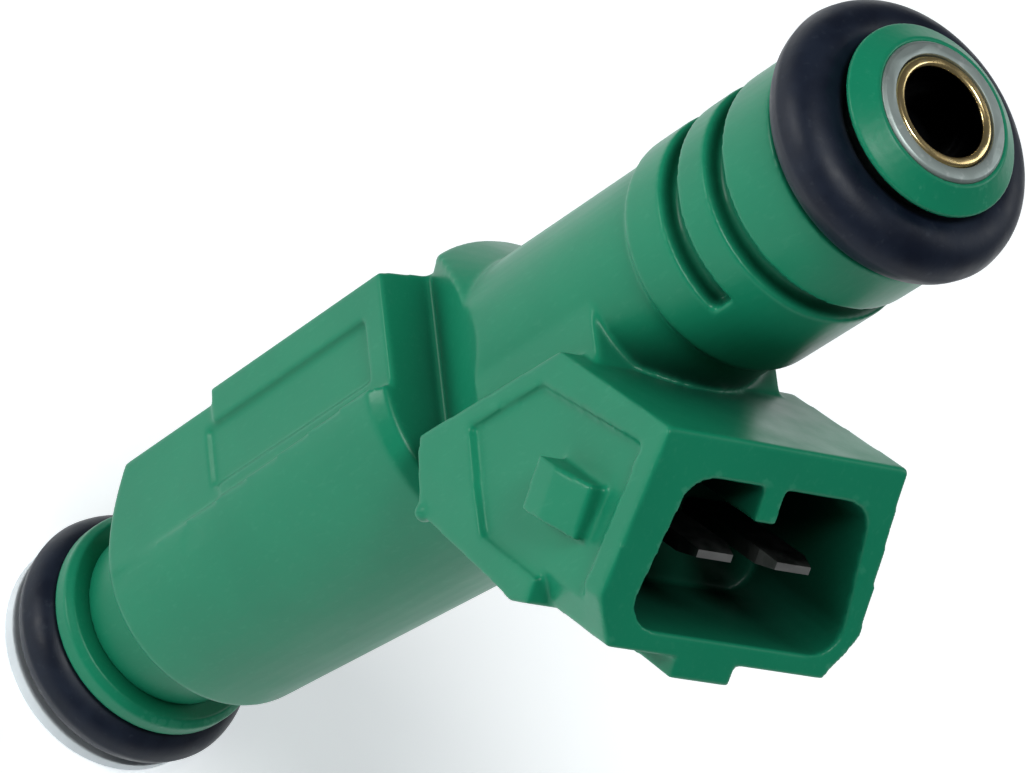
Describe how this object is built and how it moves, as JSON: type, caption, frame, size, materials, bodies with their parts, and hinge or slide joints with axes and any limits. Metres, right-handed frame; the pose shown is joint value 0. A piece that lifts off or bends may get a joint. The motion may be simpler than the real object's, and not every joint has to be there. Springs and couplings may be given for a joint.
{
  "type": "fuel injector",
  "caption": "Port fuel injector: green moulded housing with a slanted two-blade socket, O-ring seals at both ends, brass inlet filter and a sprung ball valve.",
  "frame": {"origin": "on the valve axis at the face of the outlet tip cap", "axes": "+Z along the valve axis from outlet tip to fuel inlet, +X on the side that the electrical socket leans to"},
  "size_m": [0.0287, 0.018, 0.075],
  "materials": {
    "housing_plastic": "satin green glass-filled nylon",
    "seal_rubber": "smooth dark blue-black moulded rubber with a soft gloss",
    "cap_plastic": "pale grey nylon, satin",
    "tube_steel": "drawn stainless steel, satin",
    "brass": "turned brass, bright on the edge",
    "filter_plastic": "dark grey nylon",
    "filter_gauze": "fine woven gauze",
    "terminal_tin": "tin-plated, satin",
    "core_steel": "machined magnetic steel",
    "spring_steel": "drawn spring wire",
    "ball_steel": "polished",
    "seat_steel": "ground steel",
    "bobbin_plastic": "natural nylon",
    "winding_copper": "enamelled copper wire"
  },
  "bodies": {
    "injector_body": {"housing": "housing_plastic", "upper_o_ring": "seal_rubber", "lower_o_ring": "seal_rubber", "inlet_retainer": "housing_plastic", "inlet_tube": "tube_steel", "filter_collar": "brass", "filter_frame": "filter_plastic", "filter_mesh": "filter_gauze", "support_ring": "housing_plastic", "tip_cap": "cap_plastic", "terminal_left": "terminal_tin", "terminal_right": "terminal_tin", "pole_piece": "core_steel", "adjusting_sleeve": "tube_steel", "return_spring": "spring_steel", "guide_sleeve": "tube_steel", "valve_body": "core_steel", "valve_seat": "seat_steel", "orifice_plate": "seat_steel", "coil_bobbin": "bobbin_plastic", "coil_winding": "winding_copper", "coil_can": "core_steel", "flux_washer": "core_steel"},
    "valve_needle": {"armature": "core_steel", "needle_tube": "tube_steel", "valve_ball": "ball_steel"}
  },
  "joints": [
    {"name": "needle_lift", "type": "slide", "parent": "injector_body", "child": "valve_needle", "axis": [0, 0, 1], "range_m": [0, 0.00008], "stiffness_N_per_m": 4000, "springref_m": -0.001, "deforming": ["return_spring"]}
  ]
}
